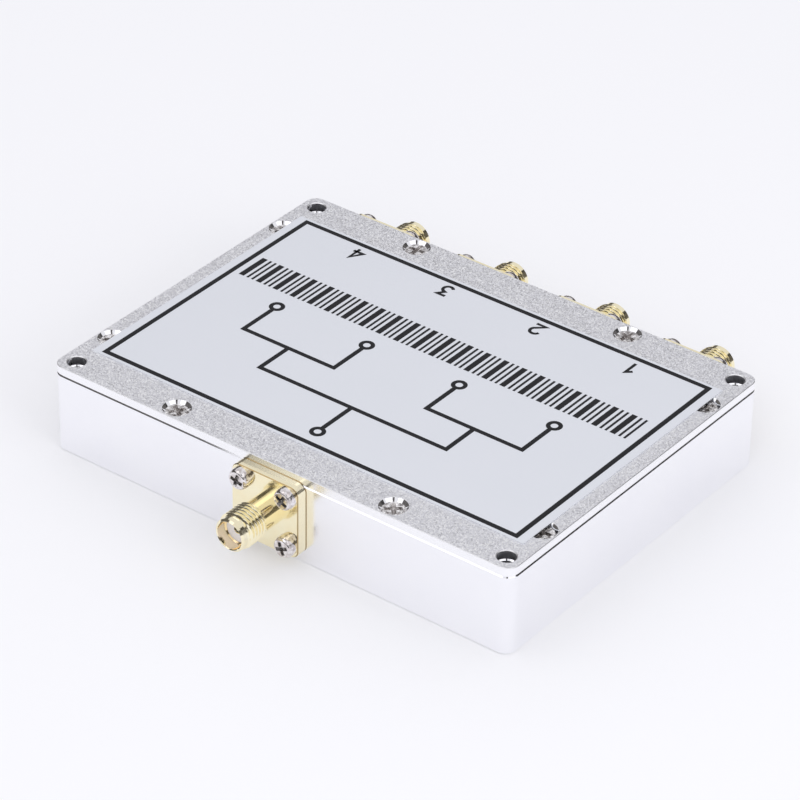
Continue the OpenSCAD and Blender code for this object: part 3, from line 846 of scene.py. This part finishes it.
class SPLITTER_OT_label(bpy.types.Operator):
    """Finish the label's film and print its border, bars, splitting diagram and port numbers"""

    bl_idname = "splitter.label"
    bl_label = "Label"

    def execute(self, context):
        sizes = context.scene.splitter_sizes
        colours = context.scene.splitter_colours
        dress(silver_film(colours), "label")
        ink = black_ink(colours)
        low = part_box("label")[1].z
        high = low + sizes.print_t
        for name, draw in (
            ("label_border", self.border),
            ("label_bars", self.bars),
            ("label_diagram", self.diagram),
            ("label_port_numbers", self.numbers),
        ):
            shape = bmesh.new()
            draw(shape, sizes, low, high)
            make_piece(name, shape, (ink,), "foil_label")
        return {"FINISHED"}

    def border(self, shape, sizes, low, high):
        """Border line round the label."""
        half = sizes.border_w / 2
        outer, inner = (
            bar(-sizes.border_x - d, sizes.border_x + d, -sizes.border_y - d, sizes.border_y + d)
            for d in (half, -half)
        )
        hoop(shape, outer, inner, low, high)

    def bars(self, shape, sizes, low, high):
        """Plain band of bars, one wide and two narrow in turn."""
        x = -sizes.band_x
        step = 0
        while x + sizes.bar_wide <= sizes.band_x:
            width = sizes.bar_wide if step % 3 == 0 else sizes.bar_narrow
            prism(shape, bar(x, x + width, sizes.band_low, sizes.band_high), low, high)
            x += width + sizes.bar_gap
            step += 1

    def diagram(self, shape, sizes, low, high):
        """Line diagram of one path that splits in two and in two again, with a ring at each end."""
        half = sizes.line_w / 2
        start, end = -sizes.diagram_start, sizes.diagram_end
        first, second = -sizes.diagram_first, -sizes.diagram_second
        wide, narrow = sizes.number_pitch, sizes.number_pitch / 2
        lines = [
            bar(-half, half, start, first - half),
            bar(-wide - half, wide + half, first - half, first + half),
        ]
        rings = [(0.0, start - sizes.dot_outer)]
        for side in (-wide, wide):
            lines.append(bar(side - half, side + half, first + half, second - half))
            lines.append(bar(side - narrow - half, side + narrow + half, second - half, second + half))
            for x in (side - narrow, side + narrow):
                lines.append(bar(x - half, x + half, second + half, end))
                rings.append((x, end + sizes.dot_outer))
        for outline in lines:
            prism(shape, outline, low, high)
        for x, y in rings:
            radii = (sizes.dot_outer, sizes.dot_inner)
            outer, inner = (bend(x, y, radius, 0, 360, PRINT_FACETS)[:-1] for radius in radii)
            hoop(shape, outer, inner, low, high)

    def numbers(self, shape, sizes, low, high):
        """Numbers of the output ports, to be read from the outputs' side."""
        for index, path in enumerate(NUMBER_STROKES):
            middle = ((len(NUMBER_STROKES) - 1) / 2 - index) * sizes.number_pitch
            outline = [
                (middle - x * sizes.number_h, sizes.number_y - (y - 0.5) * sizes.number_h)
                for x, y in stroke(path, sizes.number_w / sizes.number_h)
            ]
            prism(shape, outline, low, high)


class SPLITTER_OT_jacks(bpy.types.Operator):
    """Make the threaded gold jacks and finish their insulators and contacts"""

    bl_idname = "splitter.jacks"
    bl_label = "Jacks"

    def execute(self, context):
        sizes = context.scene.splitter_sizes
        colours = context.scene.splitter_colours
        gold = gold_plate("gold_plated_turned_brass", colours.gold, colours.gold_deep)
        # The bore's warmer gold is painted reflection of the gold-on-gold light inside the mouth
        bore = gold_plate("thinly_gold_plated_bore", colours.bore_gold_painted_warm, colours.gold_deep)
        # The edge's darker gold is painted shade for the dark lines along the flange's bevels
        painted_dark_edge = gold_plate("worn_gold_plated_edge", colours.edge_gold_shade, colours.edge_gold_shade_deep)
        white = turned_fluoropolymer(colours)
        for port in PORTS:
            node = f"{port}_jack_shell"
            low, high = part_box(node)
            shape = jack_shell(sizes, high.x - low.x, high.y - low.y)
            shape.transform(port_place(port))
            make_piece(f"{port}_threaded_jack", shape, (gold, bore, painted_dark_edge), "gold_plate", node)
            dress(gold, f"{port}_jack_contact")
            dress(white, f"{port}_jack_insulator")
        return {"FINISHED"}


class SPLITTER_OT_screws(bpy.types.Operator):
    """Make the cross-head screws of the flanges and the lid"""

    bl_idname = "splitter.screws"
    bl_label = "Screws"

    def execute(self, context):
        sizes = context.scene.splitter_sizes
        colours = context.scene.splitter_colours
        nickel = nickel_plate("nickel_plated_steel", colours.nickel, colours.nickel_dull, sizes.pan_dents)
        # The pan heads' recesses take darker colours than the heads: painted shade in the cross recesses
        recess = nickel_plate(
            "nickel_plated_recess", colours.recess, colours.recess_shade, sizes.recess_dents, softness=0.6
        )
        steel = nickel_plate(
            "dull_nickel_plated_steel", colours.lid_steel, colours.lid_steel_dull, sizes.lid_dents
        )
        # The lid screws' recesses take a darker bright tone than their heads: painted shade in the cross
        # recesses
        hollow = nickel_plate(
            "dull_nickel_plated_recess", colours.recess, colours.lid_steel_dull, sizes.lid_dents
        )
        self.made = 0
        for port in PORTS:
            node = f"{port}_flange_screws"
            low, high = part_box(node)
            mesh = pan_screw(sizes, high.y - low.y - sizes.pan_head_h)
            places = []
            for sx, sy in CORNERS:
                shift = (sx * sizes.hole_pitch / 2, sy * sizes.hole_pitch / 2, sizes.flange_t)
                places.append(port_place(port) @ Matrix.Translation(shift) @ self.next_turn())
            make_piece(f"{port}_pan_screws", set_of(mesh, places), (nickel, recess), "plated_steel", node)
        low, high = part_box("lid_screws")
        head = sizes.lid_head_d / 2
        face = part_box("lid")[1].z - sizes.lid_head_sunk
        spots = [(sx * sizes.lid_screw_x, sy * (high.y - head)) for sx, sy in CORNERS]
        spots += [(sx * (high.x - head), sy * sizes.lid_screw_y) for sx, sy in CORNERS]
        places = [Matrix.Translation((x, y, face)) @ self.next_turn() for x, y in spots]
        shape = set_of(countersunk_screw(sizes, face - low.z), places)
        make_piece("lid_countersunk_screws", shape, (steel, hollow), "plated_steel", "lid_screws")
        return {"FINISHED"}

    def next_turn(self):
        """Turn at which the next screw stops."""
        self.made += 1
        return Matrix.Rotation(math.radians(self.made * SCREW_TURN % QUARTER_TURN), 4, "Z")


class SPLITTER_OT_circuit(bpy.types.Operator):
    """Finish the board, its copper and what is soldered and screwed to it"""

    bl_idname = "splitter.circuit"
    bl_label = "Circuit"

    def execute(self, context):
        colours = context.scene.splitter_colours
        dress(woven_laminate(colours), "circuit_board")
        # Etched foil: warm, with handled patches about 3 mm across
        dress(two_tone(
            "etched_copper_foil", 3 * MM, colours.copper, colours.copper_dull, 0.3, 1.0, 1.5
        ), "microstrip_traces")
        # Thick-film chips: black glaze with paler tinned specks about 0.4 mm across
        dress(two_tone(
            "glazed_thick_film_chip", 0.4 * MM, colours.resistor_end, colours.resistor, 0.3, 0.0, 1.52
        ), "isolation_resistors")
        # Reflowed tin: bright, with frosted patches about 0.5 mm across
        dress(two_tone(
            "reflowed_tin_solder", 0.5 * MM, colours.solder, colours.solder_dull, 0.25, 1.0, 1.5
        ), "solder_joints")
        dress(bpy.data.materials["nickel_plated_steel"], "board_screws")
        return {"FINISHED"}


class SPLITTER_OT_stage(bpy.types.Operator):
    """Set the table, the soft lamps, the pale studio and the camera"""

    bl_idname = "splitter.stage"
    bl_label = "Stage"

    def execute(self, context):
        scene = context.scene
        self.table(scene.splitter_colours, scene.splitter_studio.even_share)
        self.dark_room(scene.splitter_colours)
        for name, size, place, seen in LAMPS:
            power = getattr(scene.splitter_studio, f"{name}_power")
            self.lamp(scene, f"{name}_lamp", power, size * MM, Vector(place) * MM, seen)
        self.sky(scene, scene.splitter_colours, scene.splitter_studio)
        self.camera(scene, scene.splitter_studio)
        scene.view_settings.view_transform = "Standard"
        return {"FINISHED"}

    def table(self, colours, even_share):
        """White table with a faint mottle."""
        material, node, place = new_material("matt_white_card")
        # Mottle in patches about 60 mm across
        mottle = node("ShaderNodeTexNoise", {"Vector": place, "Scale": 1 / (60 * MM), "Detail": 2.0})
        tint = node("ShaderNodeMix", {
            0: mottle, 6: [part * MOTTLE for part in colours.floor], 7: colours.floor,
        }, data_type="RGBA")
        lit = node("ShaderNodeBsdfPrincipled", {
            "Base Color": tint, "Roughness": 0.9, "Specular IOR Level": 0.1,
        })
        # The eye and the bright metal see the card partly as even white, which keeps the shadows faint
        even = node("ShaderNodeEmission", {"Color": tint, "Strength": 1.0})
        path = node("ShaderNodeLightPath").outputs
        rays = {0: path["Is Camera Ray"], 1: path["Is Glossy Ray"]}
        seen = node("ShaderNodeMath", rays, operation="MAXIMUM")
        share = node("ShaderNodeMath", {0: seen, 1: even_share}, operation="MULTIPLY")
        shader = node("ShaderNodeMixShader", {0: share, 1: lit, 2: even})
        node("ShaderNodeOutputMaterial", {"Surface": shader})
        shape = bmesh.new()
        bmesh.ops.create_grid(shape, x_segments=8, y_segments=8, size=TABLE_HALF)
        new_object("table", shape, material)

    def dark_room(self, colours):
        """Dark cloth round the table and a dark card over the camera, seen only in bright metal."""
        material, node, place = new_material("dark_studio_cloth")
        split = node("ShaderNodeSeparateXYZ", {"Vector": place}).outputs
        # The cloth hangs in deeper shade high up at the right
        right = node("ShaderNodeMapRange", {"Value": split["X"], "From Min": 0.2, "From Max": 0.7})
        high = node("ShaderNodeMapRange", {"Value": split["Z"], "From Min": 0.45, "From Max": 0.65})
        shade = node("ShaderNodeMath", {0: right, 1: high}, operation="MULTIPLY")
        tint = node("ShaderNodeMix", {0: shade, 6: colours.cloth, 7: colours.cloth_deep}, data_type="RGBA")
        shader = node("ShaderNodeBsdfPrincipled", {"Base Color": tint, "Roughness": 0.9})
        node("ShaderNodeOutputMaterial", {"Surface": shader})
        shape = bmesh.new()
        skin(shape, self.cloth_edge(shape, FOOT), self.cloth_edge(shape, HEM))
        card = [CARD_MIDDLE + CARD_ACROSS * i + CARD_ALONG * j for i, j in bar(-1, 1, -1, 1)]
        shape.faces.new([shape.verts.new(corner) for corner in card])
        room = new_object("dark_room", shape, material)
        room.visible_camera = False
        room.visible_diffuse = False
        room.visible_shadow = False
        room.visible_transmission = False

    def cloth_edge(self, shape, heights):
        """Edge of the cloth, which rises and falls in straight runs between the given heights."""
        edge = ring(shape, ROOM_RADIUS, 0.0, ROOM_STEPS)
        for vertex in edge:
            turn = math.degrees(math.atan2(vertex.co.y, vertex.co.x)) % 360
            for (first, low), (last, high) in zip(heights, heights[1:]):
                if first <= turn <= last:
                    height = low + (high - low) * (turn - first) / (last - first)
                    vertex.co.z = ROOM_RADIUS * math.tan(math.radians(height))
        return edge

    def lamp(self, scene, name, power, size, place, seen):
        """Square soft lamp that points at the object."""
        light = bpy.data.lights.new(name, "AREA")
        light.energy = power
        light.size = size
        made = bpy.data.objects.new(name, light)
        made.location = place
        made.rotation_euler = (LAMP_AIM - place).to_track_quat("-Z", "Y").to_euler()
        made.visible_glossy = seen
        scene.collection.objects.link(made)

    def sky(self, scene, colours, studio):
        """Pale studio, a little brighter overhead."""
        world = bpy.data.worlds.new("pale_studio")
        world.use_nodes = True
        world.node_tree.nodes.clear()
        node = functools.partial(add_node, world.node_tree)
        way = node("ShaderNodeTexCoord").outputs["Generated"]
        height = node("ShaderNodeSeparateXYZ", {"Vector": way}).outputs["Z"]
        level = node("ShaderNodeMapRange", {"Value": height, "To Min": 0.9, "To Max": 1.05})
        strength = node("ShaderNodeMath", {0: level, 1: studio.sky_strength}, operation="MULTIPLY")
        shade = node("ShaderNodeBackground", {"Color": colours.sky, "Strength": strength})
        node("ShaderNodeOutputWorld", {"Surface": shade})
        scene.world = world

    def camera(self, scene, studio):
        """Long lens from the front right, above the table."""
        az, el = studio.azimuth, studio.elevation
        right = Vector((math.cos(az), math.sin(az), 0))
        back = Vector((math.sin(az) * math.cos(el), -math.cos(az) * math.cos(el), math.sin(el)))
        up = back.cross(right)
        level = right * math.cos(studio.roll) + up * math.sin(studio.roll)
        upright = up * math.cos(studio.roll) - right * math.sin(studio.roll)
        lens = bpy.data.cameras.new("photo_camera")
        lens.sensor_width = 36.0
        lens.lens = studio.lens
        lens.clip_start = 0.01
        lens.clip_end = 20.0
        made = bpy.data.objects.new("photo_camera", lens)
        place = level * studio.offset[0] + upright * studio.offset[1] + back * studio.offset[2]
        axes = Matrix((level, upright, back)).transposed().to_4x4()
        made.matrix_world = Matrix.Translation(place) @ axes
        scene.collection.objects.link(made)
        scene.camera = made


OPERATORS = (
    SPLITTER_OT_stage,
    SPLITTER_OT_box,
    SPLITTER_OT_label,
    SPLITTER_OT_jacks,
    SPLITTER_OT_screws,
    SPLITTER_OT_circuit,
)


class SPLITTER_PT_pieces(bpy.types.Panel):
    """Sizes, colours and pieces of the splitter"""

    bl_idname = "SPLITTER_PT_pieces"
    bl_label = "Power splitter"
    bl_space_type = "VIEW_3D"
    bl_region_type = "UI"
    bl_category = "Splitter"

    def draw(self, context):
        scene = context.scene
        for group in (scene.splitter_sizes, scene.splitter_colours, scene.splitter_studio):
            column = self.layout.column()
            for name in group.__annotations__:
                column.prop(group, name)
        for operator in OPERATORS:
            self.layout.operator(operator.bl_idname)


CLASSES = (SplitterSizes, SplitterColours, SplitterStudio, *OPERATORS, SPLITTER_PT_pieces)


def register():
    """Add the classes and the scene's settings."""
    for made in CLASSES:
        bpy.utils.register_class(made)
    bpy.types.Scene.splitter_sizes = bpy.props.PointerProperty(type=SplitterSizes)
    bpy.types.Scene.splitter_colours = bpy.props.PointerProperty(type=SplitterColours)
    bpy.types.Scene.splitter_studio = bpy.props.PointerProperty(type=SplitterStudio)


def unregister():
    """Take the scene's settings and the classes away again."""
    del bpy.types.Scene.splitter_studio
    del bpy.types.Scene.splitter_colours
    del bpy.types.Scene.splitter_sizes
    for made in reversed(CLASSES):
        bpy.utils.unregister_class(made)


def main():
    """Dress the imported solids."""
    register()
    bpy.ops.splitter.stage()
    bpy.ops.splitter.box()
    bpy.ops.splitter.label()
    bpy.ops.splitter.jacks()
    bpy.ops.splitter.screws()
    bpy.ops.splitter.circuit()


if __name__ == "__main__":
    main()
